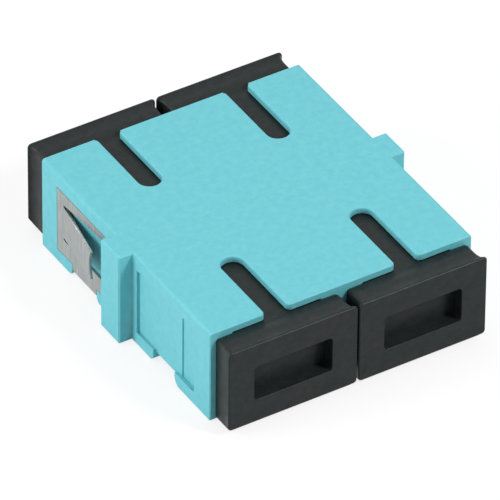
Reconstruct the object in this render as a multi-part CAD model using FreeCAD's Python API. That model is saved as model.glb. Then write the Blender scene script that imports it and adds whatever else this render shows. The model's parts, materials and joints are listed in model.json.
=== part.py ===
import FreeCAD, Part
import math
import os

from FreeCAD import Vector

os.makedirs("parts", exist_ok=True)

# Frame: X runs across the two ports, Y along them with the front mouths at -Y, Z up.
# The origin is the centre of the housing's bottom face, on the seam between the halves.
# Every piece with a front and a rear copy is drawn with its mouth at +Y.

# Housing half
port_pitch = 12.7
side_wall = 1.9
body_height = 9.3
half_length = 13.7
body_edge_radius = 0.3
body_foot_radius = 0.14
mouth_bevel = 0.09
tab_reach = 1.3
tab_front = 1.2
tab_rear = 1.85
tab_edge_radius = 0.25
tab_bevel = 0.14
tab_foot_radius = 0.22
seam_bevel = 0.05

# Ports
lid_thickness = 0.62
port_width = 9.1
floor_thickness = 0.97
port_corner = 0.3
key_width = 2.15
key_length = 8.0
key_mouth_radius = 0.45

# Spring clip sheet and the pocket it lies in, given for one half from the seam outward
sheet = 0.25
clip_gap = 0.02
wing_side_gap = 0.06
pocket_start = 1.92
pocket_end = 11.18
pocket_bottom = 1.3
pocket_head = 1.3
pocket_step_start = 8.87
pocket_step = 0.12
groove_start = 4.62
groove_end_front = 8.05
groove_end_rear = 8.68
groove_depth = 0.45
groove_corner_radius = 0.8
clip_bend_radius = 0.47
inner_lip_radius = 0.7
outer_lip_radius_front = 1.0
outer_lip_radius_rear = 0.6
window_start = 2.95
window_bottom = 2.95
window_head = 1.25
window_rise = 0.65
slit_width = 0.28
end_strip = 1.23
tongue_length = 6.57
tongue_angle = 11.2
tongue_hollow = 0.35
tongue_rise_bottom = 0.52
tongue_rise_top = 0.13

# Latch insert with its half of the sleeve holder
seat_rebate = 0.75
plate_thickness = 1.2
insert_gap = 0.04
holder_diameter = 4.7
holder_length = 6.7
holder_mouth_diameter = 2.9
holder_lip = 0.8
holder_chamfer = 0.3
arm_side_gap = 0.2
arm_thickness = 0.7
arm_height = 2.4
arm_length = 9.3
nose_depth = 0.65
nose_start = 7.7
nose_flat = 0.4
tip_thickness = 0.5
root_fillet = 0.4
relief_depth = 0.7
relief_height = 3.4
relief_end = 10.4

# Split alignment sleeve
ferrule_diameter = 2.5
sleeve_wall = 0.35
sleeve_length = 11.4
sleeve_slot = 0.4
sleeve_gap = 0.06

# Dust cap
plug_gap = 0.1
plug_length = 9.0
plug_wall = 0.85
plug_lead = 0.35
plug_slot_height = 3.2
plug_slot_end = 2.6
neck_gap = 0.9
neck_margin = 0.075
neck_foot = 0.1
neck_corner = 0.35
neck_straight = 1.35
neck_lead = 0.35
rim_gap = 0.15
rim_margin = 0.245
rim_corner = 0.38
flare_length = 1.16
cap_reach = 2.75
rim_edge_radius = 0.12
flare_steps = 4
rim_steps = 2
shoulder_gap = 0.02
finger_width = 7.6
finger_height = 3.5
finger_depth = 1.8
finger_corner = 0.35
cap_floor = 0.6

port_height = body_height - lid_thickness - floor_thickness
port_z = floor_thickness + port_height / 2
half_width = (port_pitch + port_width) / 2 + side_wall
port_centres = (-port_pitch / 2, port_pitch / 2)
pocket_top = body_height - pocket_head
window_top = pocket_top - window_head
pocket_depth = sheet + clip_gap
tongue_root = pocket_end - end_strip
seat_width = port_width + 2 * seat_rebate
seat_depth = plate_thickness + insert_gap
sleeve_radius = ferrule_diameter / 2 + sleeve_wall
holder_bore = sleeve_radius + sleeve_gap
neck_width = port_pitch - neck_gap
neck_top = body_height - lid_thickness + neck_margin
rim_width = port_pitch - rim_gap
rim_top = body_height - lid_thickness + rim_margin
rim_foot = floor_thickness - rim_margin


def rounded_wire(width, height, radius, y, cx, cz):
    """Rounded rectangle standing in the plane at y, centred on cx and cz."""
    hw = width / 2
    hh = height / 2
    s = radius * (1 - math.sqrt(0.5))
    corners = ((1, 1), (-1, 1), (-1, -1), (1, -1))
    arcs = []
    for i, (sx, sz) in enumerate(corners):
        on_side = Vector(cx + sx * hw, y, cz + sz * (hh - radius))
        on_cap = Vector(cx + sx * (hw - radius), y, cz + sz * hh)
        middle = Vector(cx + sx * (hw - s), y, cz + sz * (hh - s))
        first, last = (on_side, on_cap) if i % 2 == 0 else (on_cap, on_side)
        arcs.append((first, middle, last))
    edges = []
    for i, (first, middle, last) in enumerate(arcs):
        edges.append(Part.Arc(first, middle, last).toShape())
        edges.append(Part.makeLine(last, arcs[(i + 1) % 4][0]))
    return Part.Wire(edges)


def bevelled_wire(width, height, bevel, y, cx, cz):
    """Rectangle with cut corners standing in the plane at y, centred on cx and cz."""
    hw = width / 2
    hh = height / 2
    points = []
    for sx, sz in ((1, 1), (-1, 1), (-1, -1), (1, -1)):
        on_side = Vector(cx + sx * hw, y, cz + sz * (hh - bevel))
        on_cap = Vector(cx + sx * (hw - bevel), y, cz + sz * hh)
        points += [on_side, on_cap] if sx * sz > 0 else [on_cap, on_side]
    return Part.makePolygon(points + points[:1])


def rounded_prism(width, height, radius, y0, y1, cx, cz):
    """Bar along Y with a rounded rectangular section."""
    face = Part.Face(rounded_wire(width, height, radius, y0, cx, cz))
    return face.extrude(Vector(0, y1 - y0, 0))


def bevelled_prism(width, height, bevel, y0, y1, cx, cz):
    """Bar along Y with a rectangular section whose corners are cut."""
    face = Part.Face(bevelled_wire(width, height, bevel, y0, cx, cz))
    return face.extrude(Vector(0, y1 - y0, 0))


def box(x0, x1, y0, y1, z0, z1):
    return Part.makeBox(x1 - x0, y1 - y0, z1 - z0, Vector(x0, y0, z0))


def rod(radius, y0, y1, cx, cz):
    return Part.makeCylinder(radius, y1 - y0, Vector(cx, y0, cz), Vector(0, 1, 0))


def prism_up(points, z0, z1):
    """Upright prism on a polygon given as x, y pairs."""
    corners = [Vector(x, y, z0) for x, y in points]
    return Part.Face(Part.makePolygon(corners + corners[:1])).extrude(Vector(0, 0, z1 - z0))


def turned(shape):
    """Copy turned half round about Z: the front copy of a piece drawn for the rear."""
    copy = shape.copy()
    copy.rotate(Vector(0, 0, 0), Vector(0, 0, 1), 180)
    return copy


def mirrored(shape):
    return shape.mirror(Vector(0, 0, 0), Vector(1, 0, 0))


def edges_at(shape, test):
    return [e for e in shape.Edges if test(e)]


def along_y(edge):
    first, last = edge.Vertexes[0].Point, edge.Vertexes[-1].Point
    return abs(first.x - last.x) < 1e-6 and abs(first.z - last.z) < 1e-6


def flat_in_y(edge, y):
    return all(abs(v.Point.y - y) < 1e-6 for v in edge.Vertexes)


def seam_cutter(z, inward):
    """Cuts the half of the fine groove that runs across at the seam, on the top or below."""
    reach = half_width + tab_reach + 1
    b = seam_bevel
    corners = [
        Vector(-reach, -b, z + 2 * inward * b),
        Vector(-reach, 2 * b, z - inward * b),
        Vector(-reach, -b, z - inward * b),
    ]
    return Part.Face(Part.makePolygon(corners + corners[:1])).extrude(Vector(2 * reach, 0, 0))


def outer_shell(tab_thickness):
    """Outside of one half: the box with rounded edges and the slab of the side tabs."""
    start = tab_thickness / 2
    body = box(-half_width, half_width, start, half_length, 0, body_height)
    low = edges_at(body, lambda e: along_y(e) and e.CenterOfMass.z < body_height / 2)
    body = body.makeFillet(body_foot_radius, low)
    high = edges_at(body, lambda e: along_y(e) and e.CenterOfMass.z > body_height - 1e-6)
    body = body.makeFillet(body_edge_radius, high)
    body = body.makeChamfer(mouth_bevel, edges_at(body, lambda e: flat_in_y(e, half_length)))
    slab = box(-half_width - tab_reach, half_width + tab_reach, 0, tab_thickness, 0, body_height)
    feet = edges_at(slab, lambda e: along_y(e) and e.CenterOfMass.z < body_height / 2)
    slab = slab.makeFillet(tab_foot_radius, feet)
    heads = edges_at(slab, lambda e: along_y(e) and e.CenterOfMass.z > body_height - 1e-6)
    slab = slab.makeFillet(tab_edge_radius, heads)
    side = half_width + tab_reach / 2
    fronts = edges_at(slab, lambda e: flat_in_y(e, tab_thickness) and abs(e.CenterOfMass.x) > side)
    slab = slab.makeChamfer(tab_bevel, fronts)
    return body.fuse(slab).cut([seam_cutter(body_height, -1), seam_cutter(0, 1)]).removeSplitter()


def key_slot(cx):
    """Cutter for the keyway through the lid: rounded inner end and rounded mouth corners."""
    r = key_width / 2
    m = key_mouth_radius
    q = m * (1 - math.sqrt(0.5))
    end = half_length - key_length + r
    mouth = half_length
    out = half_length + 1

    def p(x, y):
        return Vector(cx + x, y, port_z)

    edges = [
        Part.makeLine(p(-r - m, out), p(-r - m, mouth)),
        Part.Arc(p(-r - m, mouth), p(-r - q, mouth - q), p(-r, mouth - m)).toShape(),
        Part.makeLine(p(-r, mouth - m), p(-r, end)),
        Part.Arc(p(-r, end), p(0, end - r), p(r, end)).toShape(),
        Part.makeLine(p(r, end), p(r, mouth - m)),
        Part.Arc(p(r, mouth - m), p(r + q, mouth - q), p(r + m, mouth)).toShape(),
        Part.makeLine(p(r + m, mouth), p(r + m, out)),
        Part.makeLine(p(r + m, out), p(-r - m, out)),
    ]
    return Part.Face(Part.Wire(edges)).extrude(Vector(0, 0, body_height))


def port_cutter(cx):
    """Everything hollow in one port of a half."""
    out = half_length + 1
    bore = bevelled_prism(port_width, port_height, port_corner, seat_depth / 2, out, cx, port_z)
    seat = bevelled_prism(seat_width, port_height, port_corner, -1, seat_depth, cx, port_z)
    reach = port_width / 2 + relief_depth
    low = port_z - relief_height / 2
    relief = box(cx - reach, cx + reach, seat_depth / 2, relief_end, low, low + relief_height)
    return bore.fuse([seat, relief, key_slot(cx)])


def groove_cutter(groove_end, outer_lip_radius):
    """Cutter for the belly groove and its wrap up the left side between the rounded lips."""
    a = inner_lip_radius
    b = outer_lip_radius
    s = 1 - math.sqrt(0.5)
    x0 = -half_width - 1
    inner = -half_width + pocket_depth
    top = (pocket_bottom + pocket_top) / 2

    def p(y, z):
        return Vector(x0, y, z)

    edges = [
        Part.makeLine(p(groove_start - a, -1), p(groove_start - a, 0)),
        Part.Arc(p(groove_start - a, 0), p(groove_start - s * a, s * a), p(groove_start, a)).toShape(),
        Part.makeLine(p(groove_start, a), p(groove_start, top)),
        Part.makeLine(p(groove_start, top), p(groove_end, top)),
        Part.makeLine(p(groove_end, top), p(groove_end, b)),
        Part.Arc(p(groove_end, b), p(groove_end + s * b, s * b), p(groove_end + b, 0)).toShape(),
        Part.makeLine(p(groove_end + b, 0), p(groove_end + b, -1)),
        Part.makeLine(p(groove_end + b, -1), p(groove_start - a, -1)),
    ]
    outline = Part.Face(Part.Wire(edges))
    side = outline.extrude(Vector(inner - x0, 0, 0))
    belly = outline.extrude(Vector(-x0, 0, 0))
    belly = belly.common(box(x0, 0, 0, half_length, -1, groove_depth))
    c = groove_corner_radius
    corner = box(inner - c, inner + c, groove_start, groove_end, groove_depth - c, groove_depth + c)
    corner = corner.cut(rod(c, groove_start - 1, groove_end + 1, inner + c, groove_depth + c))
    return belly.fuse([side, corner])


def clip_pocket(groove):
    """Cutter for the left side of a half: the wing's pocket, its deeper end and the groove."""
    x0 = -half_width - 1
    shallow = -half_width + pocket_depth
    deep = shallow + pocket_step
    wing = box(x0, shallow, pocket_start, pocket_end, pocket_bottom, pocket_top)
    end = box(x0, deep, pocket_step_start, pocket_end, pocket_bottom, pocket_top)
    return wing.fuse([end, groove])


def housing_half(tab_thickness, groove_end, outer_lip_radius):
    side = clip_pocket(groove_cutter(groove_end, outer_lip_radius))
    cutters = [port_cutter(cx) for cx in port_centres] + [side, mirrored(side)]
    return outer_shell(tab_thickness).cut(cutters).removeSplitter()


def latch_arm():
    """One spring arm with its hook nose, on the +X side of the port."""
    outer = port_width / 2 - arm_side_gap
    inner = outer - arm_thickness
    nose = inner - nose_depth
    root = plate_thickness / 2
    points = (
        (inner, root),
        (outer, root),
        (outer, arm_length),
        (outer - tip_thickness, arm_length),
        (nose, nose_start + nose_flat),
        (nose, nose_start),
        (inner, nose_start - nose_flat / 2),
        (inner, plate_thickness + root_fillet),
        (inner - root_fillet, plate_thickness),
        (inner - root_fillet, root),
    )
    return prism_up(points, port_z - arm_height / 2, port_z + arm_height / 2)


def latch_insert(cx):
    """Plate trapped at the seam, half of the sleeve holder and two hooked spring arms."""
    width = seat_width - 2 * insert_gap
    height = port_height - 2 * insert_gap
    plate = bevelled_prism(width, height, port_corner, 0, plate_thickness, 0, port_z)
    holder = rod(holder_diameter / 2, plate_thickness / 2, holder_length, 0, port_z)
    arm = latch_arm()
    body = plate.fuse([holder, arm, mirrored(arm)])
    stop = holder_length - holder_lip
    bore = rod(holder_bore, -1, stop, 0, port_z)
    mouth = rod(holder_mouth_diameter / 2, 0, holder_length + 1, 0, port_z)
    small = holder_mouth_diameter / 2
    lead = Part.makeCone(small, small + holder_chamfer, holder_chamfer,
                         Vector(0, holder_length - holder_chamfer, port_z), Vector(0, 1, 0))
    body = body.cut([bore, mouth, lead]).removeSplitter()
    body.translate(Vector(cx, 0, 0))
    return body


def split_sleeve(cx):
    """Ceramic tube, slit along its top, that lines up the two ferrules."""
    half = sleeve_length / 2
    tube = rod(sleeve_radius, -half, half, cx, port_z)
    tube = tube.cut(rod(ferrule_diameter / 2, -half - 1, half + 1, cx, port_z))
    slot = box(cx - sleeve_slot / 2, cx + sleeve_slot / 2, -half - 1, half + 1,
               port_z, port_z + sleeve_radius + 1)
    return tube.cut(slot)


def wing_blank():
    """Left wing before its window is cut, and the band that runs under the body to x = 0."""
    outer = -half_width
    wing = box(outer, outer + sheet, pocket_start + wing_side_gap, pocket_end - wing_side_gap,
               pocket_bottom + wing_side_gap, pocket_top - wing_side_gap)
    y0 = groove_start + wing_side_gap
    y1 = groove_end_rear - wing_side_gap
    r_in = clip_bend_radius
    r_out = r_in + sheet
    low = groove_depth - clip_gap - sheet
    bend_x = outer + r_out
    bend_z = low + r_out
    bend = rod(r_out, y0, y1, bend_x, bend_z).cut(rod(r_in, y0 - 1, y1 + 1, bend_x, bend_z))
    bend = bend.common(box(outer - 1, bend_x, y0, y1, low - 1, bend_z))
    riser = box(outer, outer + sheet, y0, y1, bend_z, window_bottom)
    band = box(bend_x, 0, y0, y1, low, low + sheet)
    return wing.fuse([bend, riser, band])


def tongue():
    """Spring tongue of the left wing, bent outward, with a hollowed free edge."""
    z0 = window_bottom + slit_width
    z1 = window_top - slit_width
    tip0 = z0 + tongue_rise_bottom
    tip1 = z1 + tongue_rise_top
    free = tongue_root - tongue_length
    middle = (tip0 + tip1) / 2

    def p(y, z):
        return Vector(-half_width, y, z)

    edges = [
        Part.makeLine(p(tongue_root, z0), p(free, tip0)),
        Part.Arc(p(free, tip0), p(free + tongue_hollow, middle), p(free, tip1)).toShape(),
        Part.makeLine(p(free, tip1), p(tongue_root, z1)),
        Part.makeLine(p(tongue_root, z1), p(tongue_root, z0)),
    ]
    leaf = Part.Face(Part.Wire(edges)).extrude(Vector(sheet, 0, 0))
    leaf.rotate(Vector(-half_width + sheet, tongue_root, 0), Vector(0, 0, 1), -tongue_angle)
    heel = rod_up(sheet, -half_width + sheet, tongue_root, z0, z1)
    heel = heel.common(box(-half_width, -half_width + sheet, 0, half_length, z0, z1))
    return leaf.fuse(heel)


def rod_up(radius, cx, cy, z0, z1):
    return Part.makeCylinder(radius, z1 - z0, Vector(cx, cy, z0), Vector(0, 0, 1))


def clip_window():
    """Cutter for the window of the left wing, with the round ends of the two slits."""
    x0 = -half_width - 1
    x1 = -half_width + sheet + 1
    r = slit_width / 2
    corners = [
        Vector(x0, tongue_root, window_bottom),
        Vector(x0, tongue_root, window_top),
        Vector(x0, window_start, window_top + window_rise),
        Vector(x0, window_start, window_bottom),
    ]
    outline = Part.makePolygon(corners + corners[:1])
    opening = Part.Face(outline).extrude(Vector(x1 - x0, 0, 0))
    ends = []
    for z in (window_bottom + r, window_top - r):
        ends.append(Part.makeCylinder(r, x1 - x0, Vector(x0, tongue_root, z), Vector(1, 0, 0)))
    return opening.fuse(ends)


def spring_clip():
    """One folded strip: band under the body and a wing with a tongue on either side."""
    left = wing_blank().cut(clip_window()).fuse(tongue())
    return left.fuse(mirrored(left)).removeSplitter()


def cap_head():
    """Grip of the cap: deep neck down to the housing's foot, hollow flare, rim with a rounded edge."""
    start = half_length + shoulder_gap
    flare_start = start + neck_straight
    front = half_length + cap_reach
    round_start = front - rim_edge_radius
    plug_top = body_height - lid_thickness - plug_gap
    sections = [(neck_width, neck_foot, plug_top, neck_corner, start),
                (neck_width, neck_foot, neck_top, neck_corner, start + neck_lead)]
    for i in range(flare_steps + 1):
        angle = math.pi / 2 * i / flare_steps
        grow = 1 - math.cos(angle)
        width = neck_width + (rim_width - neck_width) * grow
        foot = neck_foot + (rim_foot - neck_foot) * grow
        top = neck_top + (rim_top - neck_top) * grow
        corner = neck_corner + (rim_corner - neck_corner) * grow
        sections.append((width, foot, top, corner, flare_start + flare_length * math.sin(angle)))
    for i in range(rim_steps + 1):
        angle = math.pi / 2 * i / rim_steps
        inset = rim_edge_radius * (1 - math.cos(angle))
        y = round_start + rim_edge_radius * math.sin(angle)
        sections.append((rim_width - 2 * inset, rim_foot + inset, rim_top - inset,
                         rim_corner - inset, y))
    wires = [rounded_wire(width, top - foot, corner, y, 0, (foot + top) / 2)
             for width, foot, top, corner, y in sections]
    head = Part.makeLoft(wires, True, True)
    finger = rounded_prism(finger_width, finger_height, finger_corner,
                           front - finger_depth, front + 1, 0, port_z)
    return head.cut(finger)


def dust_cap(cx):
    """Push-in cap: hollow plug with side slots for the latch arms, and the grip outside."""
    width = port_width - 2 * plug_gap
    height = port_height - 2 * plug_gap
    tip = half_length - plug_length
    lead_end = tip + plug_lead
    plug = bevelled_prism(width, height, port_corner, lead_end, half_length + neck_straight,
                          0, port_z)
    nose = Part.makeLoft([
        bevelled_wire(width - plug_lead, height - plug_lead, port_corner, tip, 0, port_z),
        bevelled_wire(width, height, port_corner, lead_end, 0, port_z),
    ], True, True)
    body = plug.fuse([nose, cap_head()])
    floor = half_length + cap_reach - finger_depth - cap_floor - shoulder_gap
    hollow = bevelled_prism(width - 2 * plug_wall, height - 2 * plug_wall, port_corner,
                            tip - 1, floor, 0, port_z)
    low = port_z - plug_slot_height / 2
    slots = box(-port_width, port_width, tip - 1, half_length - plug_slot_end,
                low, low + plug_slot_height)
    body = body.cut([hollow, slots]).removeSplitter()
    body.translate(Vector(cx, 0, 0))
    return body


def write(shape, name):
    shape.exportStep("parts/" + name + ".step")


left, right = port_centres
pieces = {
    "housing_front": turned(housing_half(tab_front, groove_end_front, outer_lip_radius_front)),
    "housing_rear": housing_half(tab_rear, groove_end_rear, outer_lip_radius_rear),
    "latch_insert_front_left": turned(latch_insert(right)),
    "latch_insert_front_right": turned(latch_insert(left)),
    "latch_insert_rear_left": latch_insert(left),
    "latch_insert_rear_right": latch_insert(right),
    "sleeve_left": split_sleeve(left),
    "sleeve_right": split_sleeve(right),
    "spring_clip": spring_clip(),
    "dust_cap_front_left": turned(dust_cap(right)),
    "dust_cap_front_right": turned(dust_cap(left)),
    "dust_cap_rear_left": dust_cap(left),
    "dust_cap_rear_right": dust_cap(right),
}

for name, shape in pieces.items():
    write(shape, name)
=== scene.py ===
import json
import math

import bpy
from mathutils import Matrix, Vector

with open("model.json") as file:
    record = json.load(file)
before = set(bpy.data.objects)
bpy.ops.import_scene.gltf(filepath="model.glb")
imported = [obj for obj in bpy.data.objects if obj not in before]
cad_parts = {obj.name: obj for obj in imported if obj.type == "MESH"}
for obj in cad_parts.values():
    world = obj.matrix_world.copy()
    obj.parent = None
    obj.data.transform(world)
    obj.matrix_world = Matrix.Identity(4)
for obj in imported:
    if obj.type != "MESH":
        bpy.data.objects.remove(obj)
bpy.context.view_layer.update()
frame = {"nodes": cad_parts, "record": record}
scene = bpy.context.scene
scene.view_settings.view_transform = "Standard"

MM = 0.001

# Camera: the photo's view, fitted to measured points of the adapter
VIEW_AZIMUTH = math.radians(-31.81)
VIEW_ELEVATION = math.radians(38.71)
VIEW_ROLL = math.radians(0.534)
VIEW_DISTANCE = 779.2 * MM
VIEW_TARGET = Vector((-0.649, -0.234, 3.975)) * MM
VIEW_LENS = 665.66
VIEW_SENSOR = 36
VIEW_CLIP_START = 0.01
VIEW_CLIP_END = 10

# Stage, in metres and watts: a white floor just below the part, an even room, round lamps
FLOOR_SIZE = 4
FLOOR_GAP = 0.00003
FLOOR_WHITE = 0.8  # share of the floor's white that no shadow darkens
FLOOR_BOUNCE = 0.72  # grey of the floor in the light that it throws back on the part
ROOM_LIGHT = 0.38
LAMPS = {  # place, diameter, power
    "top": ((-0.02, 0.14, 0.60), 0.4, 0.72),
    "left": ((-0.54, 0.16, 0.22), 0.4, 2.65),
    "front": ((0.27, -0.42, 0.44), 0.2, 2.8),
}

# Edges, in metres: outward ones get a small rounding, the lid's open ones a wider one
LID_NODES = ("housing_front", "housing_rear")
LID_ROUNDING = 0.00016
LID_SEGMENTS = 3
LID_REACH = 0.000005  # how far below the lid's top its edges may lie
LID_UP = 0.99  # least upward share of the normal of a face that is the lid's top
WALL_UP = 0.3  # most upward share of the normal of a face that is a wall below it
EDGE_SEGMENTS = 2
EDGE_ANGLE = math.radians(32)  # faces that turn less run on smoothly
FLAT_ANGLE = math.radians(0.6)  # faces that turn less are made one before the rounding
WELD_GAP = 0.000002
PLACE_DIGITS = 6  # corners are the same where they agree to the micrometre

# Materials: how deep light goes into plastic, in metres, and what makes the lines in steel
GLOW_DEPTH = 0.0006
GLOW_REACH = (0.3, 0.9, 1.0)  # red, green and blue, as shares of the depth
LINE_SQUEEZE = (1, 14, 1)  # the steel's noise is that much finer across the strip

# Sockets of a colour mix node: its two colours and its result, which share their names
MIX_A, MIX_B, MIX_RESULT = 6, 7, 2


def srgb(r, g, b):
    """A colour written as in a picture file, 0 to 255, as Blender's linear one."""
    def linear(c):
        c = c / 255
        return c / 12.92 if c <= 0.04045 else ((c + 0.055) / 1.055) ** 2.4
    return (linear(r), linear(g), linear(b), 1)


def grey(value):
    return (value, value, value, 1)


BLACK = grey(0)
WHITE = grey(1)


def add_camera():
    a, e, r = VIEW_AZIMUTH, VIEW_ELEVATION, VIEW_ROLL
    back = Vector((math.sin(a) * math.cos(e), -math.cos(a) * math.cos(e), math.sin(e)))
    side = Vector((math.cos(a), math.sin(a), 0))
    top = back.cross(side)
    right = side * math.cos(r) + top * math.sin(r)
    up = top * math.cos(r) - side * math.sin(r)
    data = bpy.data.cameras.new("camera")
    data.sensor_width = VIEW_SENSOR
    data.lens = VIEW_LENS
    data.clip_start = VIEW_CLIP_START
    data.clip_end = VIEW_CLIP_END
    camera = bpy.data.objects.new("camera", data)
    turn = Matrix((right, up, back)).transposed().to_4x4()
    camera.matrix_world = Matrix.Translation(VIEW_TARGET + back * VIEW_DISTANCE) @ turn
    scene.collection.objects.link(camera)
    scene.camera = camera


def seen_rays(tree):
    """1 for rays that show the background: from the camera, in gloss and through glass."""
    path = tree.nodes.new("ShaderNodeLightPath")
    total = path.outputs["Is Camera Ray"]
    for kind in ("Is Glossy Ray", "Is Transmission Ray"):
        add = tree.nodes.new("ShaderNodeMath")
        add.operation = "ADD"
        add.use_clamp = True
        tree.links.new(total, add.inputs[0])
        tree.links.new(path.outputs[kind], add.inputs[1])
        total = add.outputs[0]
    return total


def mix_shaders(tree, one, other):
    """A mix node from one shader to the other, whose factor is still to be set."""
    node = tree.nodes.new("ShaderNodeMixShader")
    tree.links.new(one.outputs[0], node.inputs[1])
    tree.links.new(other.outputs[0], node.inputs[2])
    return node


class Nodes:
    """Short hand for building a material's node tree."""

    def __init__(self, name):
        self.material = bpy.data.materials.new(name)
        self.material.use_nodes = True
        self.tree = self.material.node_tree
        self.tree.nodes.clear()
        self.out = self.add("ShaderNodeOutputMaterial")

    def add(self, kind, **inputs):
        node = self.tree.nodes.new(kind)
        for key, value in inputs.items():
            node.inputs[key.replace("_", " ")].default_value = value
        return node

    def link(self, source, target):
        self.tree.links.new(source, target)

    def coords(self):
        return self.add("ShaderNodeTexCoord").outputs["Object"]

    def noise(self, scale, detail, rough=0.5, vector=None):
        node = self.add("ShaderNodeTexNoise", Scale=scale, Detail=detail, Roughness=rough)
        self.link(vector or self.coords(), node.inputs["Vector"])
        return node.outputs["Fac"]

    def ramp(self, fac, *stops):
        """Colour along fac, from two stops of place and colour."""
        node = self.add("ShaderNodeValToRGB")
        self.link(fac, node.inputs["Fac"])
        for element, (place, color) in zip(node.color_ramp.elements, stops):
            element.position = place
            element.color = color
        return node.outputs["Color"]

    def mix(self, fac, a, b):
        node = self.add("ShaderNodeMix")
        node.data_type = "RGBA"
        self.link(fac, node.inputs["Factor"])
        node.inputs[MIX_A].default_value = a
        node.inputs[MIX_B].default_value = b
        return node.outputs[MIX_RESULT]

    def bump(self, height, strength, distance):
        node = self.add("ShaderNodeBump", Strength=strength, Distance=distance)
        self.link(height, node.inputs["Height"])
        return node.outputs["Normal"]

    def finish(self, shader):
        self.link(shader.outputs[0], self.out.inputs["Surface"])
        return self.material


def moulded_plastic(name, base, shade, roughness, grain, depth, specular=0.5, glow=0.0):
    """Moulded plastic: soft cloudy tone, fine spark-eroded grain and uneven gloss."""
    m = Nodes(name)
    shader = m.add("ShaderNodeBsdfPrincipled", Specular_IOR_Level=specular,
                   Subsurface_Weight=glow, Subsurface_Radius=GLOW_REACH,
                   Subsurface_Scale=GLOW_DEPTH)
    cloud = m.ramp(m.noise(scale=1500, detail=5, rough=0.6), (0.35, BLACK), (0.7, WHITE))
    m.link(m.mix(cloud, base, shade), shader.inputs["Base Color"])
    smooth, dull = roughness
    rough = m.ramp(m.noise(scale=420, detail=2), (0.3, grey(smooth)), (0.7, grey(dull)))
    m.link(rough, shader.inputs["Roughness"])
    bump = m.bump(m.noise(scale=grain, detail=2), strength=0.35, distance=depth)
    m.link(bump, shader.inputs["Normal"])
    return m.finish(shader)


def spring_steel(name):
    """Rolled strip: fine grain lines along the strip and a dull stamped surface."""
    m = Nodes(name)
    shader = m.add("ShaderNodeBsdfPrincipled", Metallic=1.0)
    squeeze = m.add("ShaderNodeMapping", Scale=LINE_SQUEEZE)
    m.link(m.coords(), squeeze.inputs["Vector"])
    lines = m.noise(scale=420, detail=5, rough=0.65, vector=squeeze.outputs["Vector"])
    color = m.ramp(lines, (0.25, srgb(135, 142, 142)), (0.75, srgb(186, 190, 188)))
    m.link(color, shader.inputs["Base Color"])
    rough = m.ramp(m.noise(scale=300, detail=3), (0.3, grey(0.38)), (0.7, grey(0.52)))
    m.link(rough, shader.inputs["Roughness"])
    m.link(m.bump(lines, strength=0.2, distance=0.00001), shader.inputs["Normal"])
    return m.finish(shader)


def place_of(corner):
    """A corner's place, rounded so that it is the same for every face that meets there."""
    return tuple(round(value, PLACE_DIGITS) for value in corner)


def mark_edges(obj, has_lid):
    """Weights for the roundings of outward edges. Inward ones are marked sharp."""
    mesh = obj.data
    top = max(v.co.z for v in mesh.vertices)
    sides = {}
    for polygon in mesh.polygons:
        for key in polygon.edge_keys:
            ends = tuple(sorted(place_of(mesh.vertices[i].co) for i in key))
            sides.setdefault(ends, []).append(polygon)
    corners = mesh.attributes.new("corner_weight", "FLOAT", "EDGE")
    lids = mesh.attributes.new("lid_weight", "FLOAT", "EDGE")
    for edge in mesh.edges:
        a, b = (mesh.vertices[i].co for i in edge.vertices)
        pair = sides.get(tuple(sorted((place_of(a), place_of(b)))), [])
        if len(pair) != 2:
            continue
        one, two = pair
        if one.normal.angle(two.normal, 0) < EDGE_ANGLE:
            continue
        lower, upper = sorted((one.normal.z, two.normal.z))
        at_top = min(a.z, b.z) > top - LID_REACH and upper > LID_UP and lower < WALL_UP
        if (two.center - one.center).dot(one.normal) > 0:
            edge.use_edge_sharp = True
        elif has_lid and at_top:
            lids.data[edge.index].value = 1.0
        else:
            corners.data[edge.index].value = 1.0


def round_edges(obj, name, weight, width, segments, clamp):
    bevel = obj.modifiers.new(name, "BEVEL")
    bevel.width = width
    bevel.segments = segments
    bevel.limit_method = "WEIGHT"
    bevel.edge_weight = weight
    bevel.use_clamp_overlap = clamp
    bevel.face_strength_mode = "FSTR_AFFECTED"


def dress(node, material, rounding):
    """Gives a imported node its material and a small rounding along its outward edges."""
    obj = frame["nodes"][node]
    obj.data.materials.clear()
    obj.data.materials.append(material)
    for polygon in obj.data.polygons:
        polygon.use_smooth = True
    has_lid = node in LID_NODES
    mark_edges(obj, has_lid)
    weld = obj.modifiers.new("weld", "WELD")
    weld.merge_threshold = WELD_GAP
    whole = obj.modifiers.new("whole_faces", "DECIMATE")
    whole.decimate_type = "DISSOLVE"
    whole.angle_limit = FLAT_ANGLE
    if has_lid:
        round_edges(obj, "lid_edge", "lid_weight", LID_ROUNDING, LID_SEGMENTS, False)
    round_edges(obj, "edge", "corner_weight", rounding, EDGE_SEGMENTS, True)
    flat = obj.modifiers.new("flat", "WEIGHTED_NORMAL")
    flat.mode = "FACE_AREA"
    flat.use_face_influence = True
    flat.keep_sharp = True


def add_floor():
    """Plain white floor that keeps a faint shadow."""
    bpy.ops.mesh.primitive_plane_add(size=FLOOR_SIZE, location=(0, 0, -FLOOR_GAP))
    floor = bpy.context.object
    floor.name = "floor"
    m = Nodes("floor")
    shaded = m.add("ShaderNodeBsdfDiffuse", Color=WHITE)
    plain = m.add("ShaderNodeEmission", Color=WHITE, Strength=1.0)
    bounce = m.add("ShaderNodeBsdfDiffuse", Color=grey(FLOOR_BOUNCE))
    seen = mix_shaders(m.tree, shaded, plain)
    seen.inputs[0].default_value = FLOOR_WHITE
    both = mix_shaders(m.tree, bounce, seen)
    m.link(seen_rays(m.tree), both.inputs[0])
    floor.data.materials.append(m.finish(both))


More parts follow.
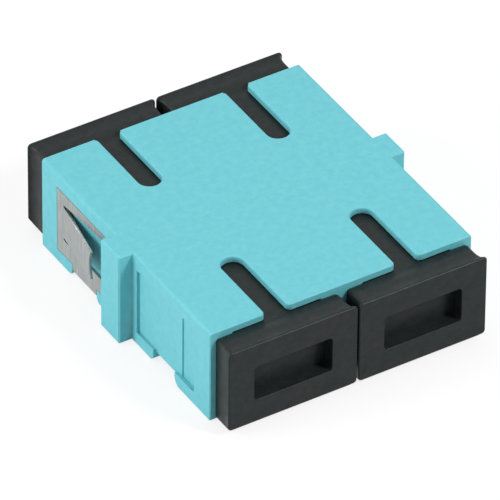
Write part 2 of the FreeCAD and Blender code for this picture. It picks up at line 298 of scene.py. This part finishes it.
def add_room():
    """The white background that is seen, and the dimmer, even light that the part gets."""
    world = bpy.data.worlds.new("world")
    scene.world = world
    world.use_nodes = True
    tree = world.node_tree
    room = tree.nodes["Background"]
    room.inputs["Color"].default_value = WHITE
    room.inputs["Strength"].default_value = ROOM_LIGHT
    backdrop = tree.nodes.new("ShaderNodeBackground")
    backdrop.inputs["Color"].default_value = WHITE
    both = mix_shaders(tree, room, backdrop)
    tree.links.new(seen_rays(tree), both.inputs[0])
    tree.links.new(both.outputs[0], tree.nodes["World Output"].inputs["Surface"])


def add_lamps():
    """Round lamps that all face the part."""
    for name, (place, size, power) in LAMPS.items():
        data = bpy.data.lights.new(name, "AREA")
        data.shape = "DISK"
        data.size = size
        data.energy = power
        lamp = bpy.data.objects.new(name, data)
        lamp.location = place
        lamp.rotation_mode = "QUATERNION"
        lamp.rotation_quaternion = (-Vector(place)).to_track_quat("-Z", "Y")
        scene.collection.objects.link(lamp)


add_camera()
add_floor()
add_room()
add_lamps()

# Material and rounding (in metres) of the pieces in each slot of the record
FINISHES = {
    "aqua_housing": (moulded_plastic(
        "aqua_housing", base=srgb(95, 183, 193), shade=srgb(106, 189, 199),
        roughness=(0.61, 0.68), grain=7000, depth=0.00002, specular=0.6, glow=0.15), 0.00006),
    "black_cap": (moulded_plastic(
        "black_cap", base=srgb(26, 33, 34), shade=srgb(39, 42, 40),
        roughness=(0.33, 0.4), grain=5200, depth=0.00002, specular=0.17), 0.00006),
    "insert_white": (moulded_plastic(
        "insert_white", base=srgb(232, 230, 221), shade=srgb(239, 237, 229),
        roughness=(0.35, 0.45), grain=8000, depth=0.00001), 0.00004),
    "ceramic": (moulded_plastic(
        "ceramic", base=srgb(238, 236, 228), shade=srgb(243, 241, 234),
        roughness=(0.12, 0.2), grain=12000, depth=0.000003), 0.00003),
    "spring_steel": (spring_steel("spring_steel"), 0.00003),
}
for part in frame["record"]["subparts"]:
    material, rounding = FINISHES[part["material_slot"]]
    dress(part["node"], material, rounding)
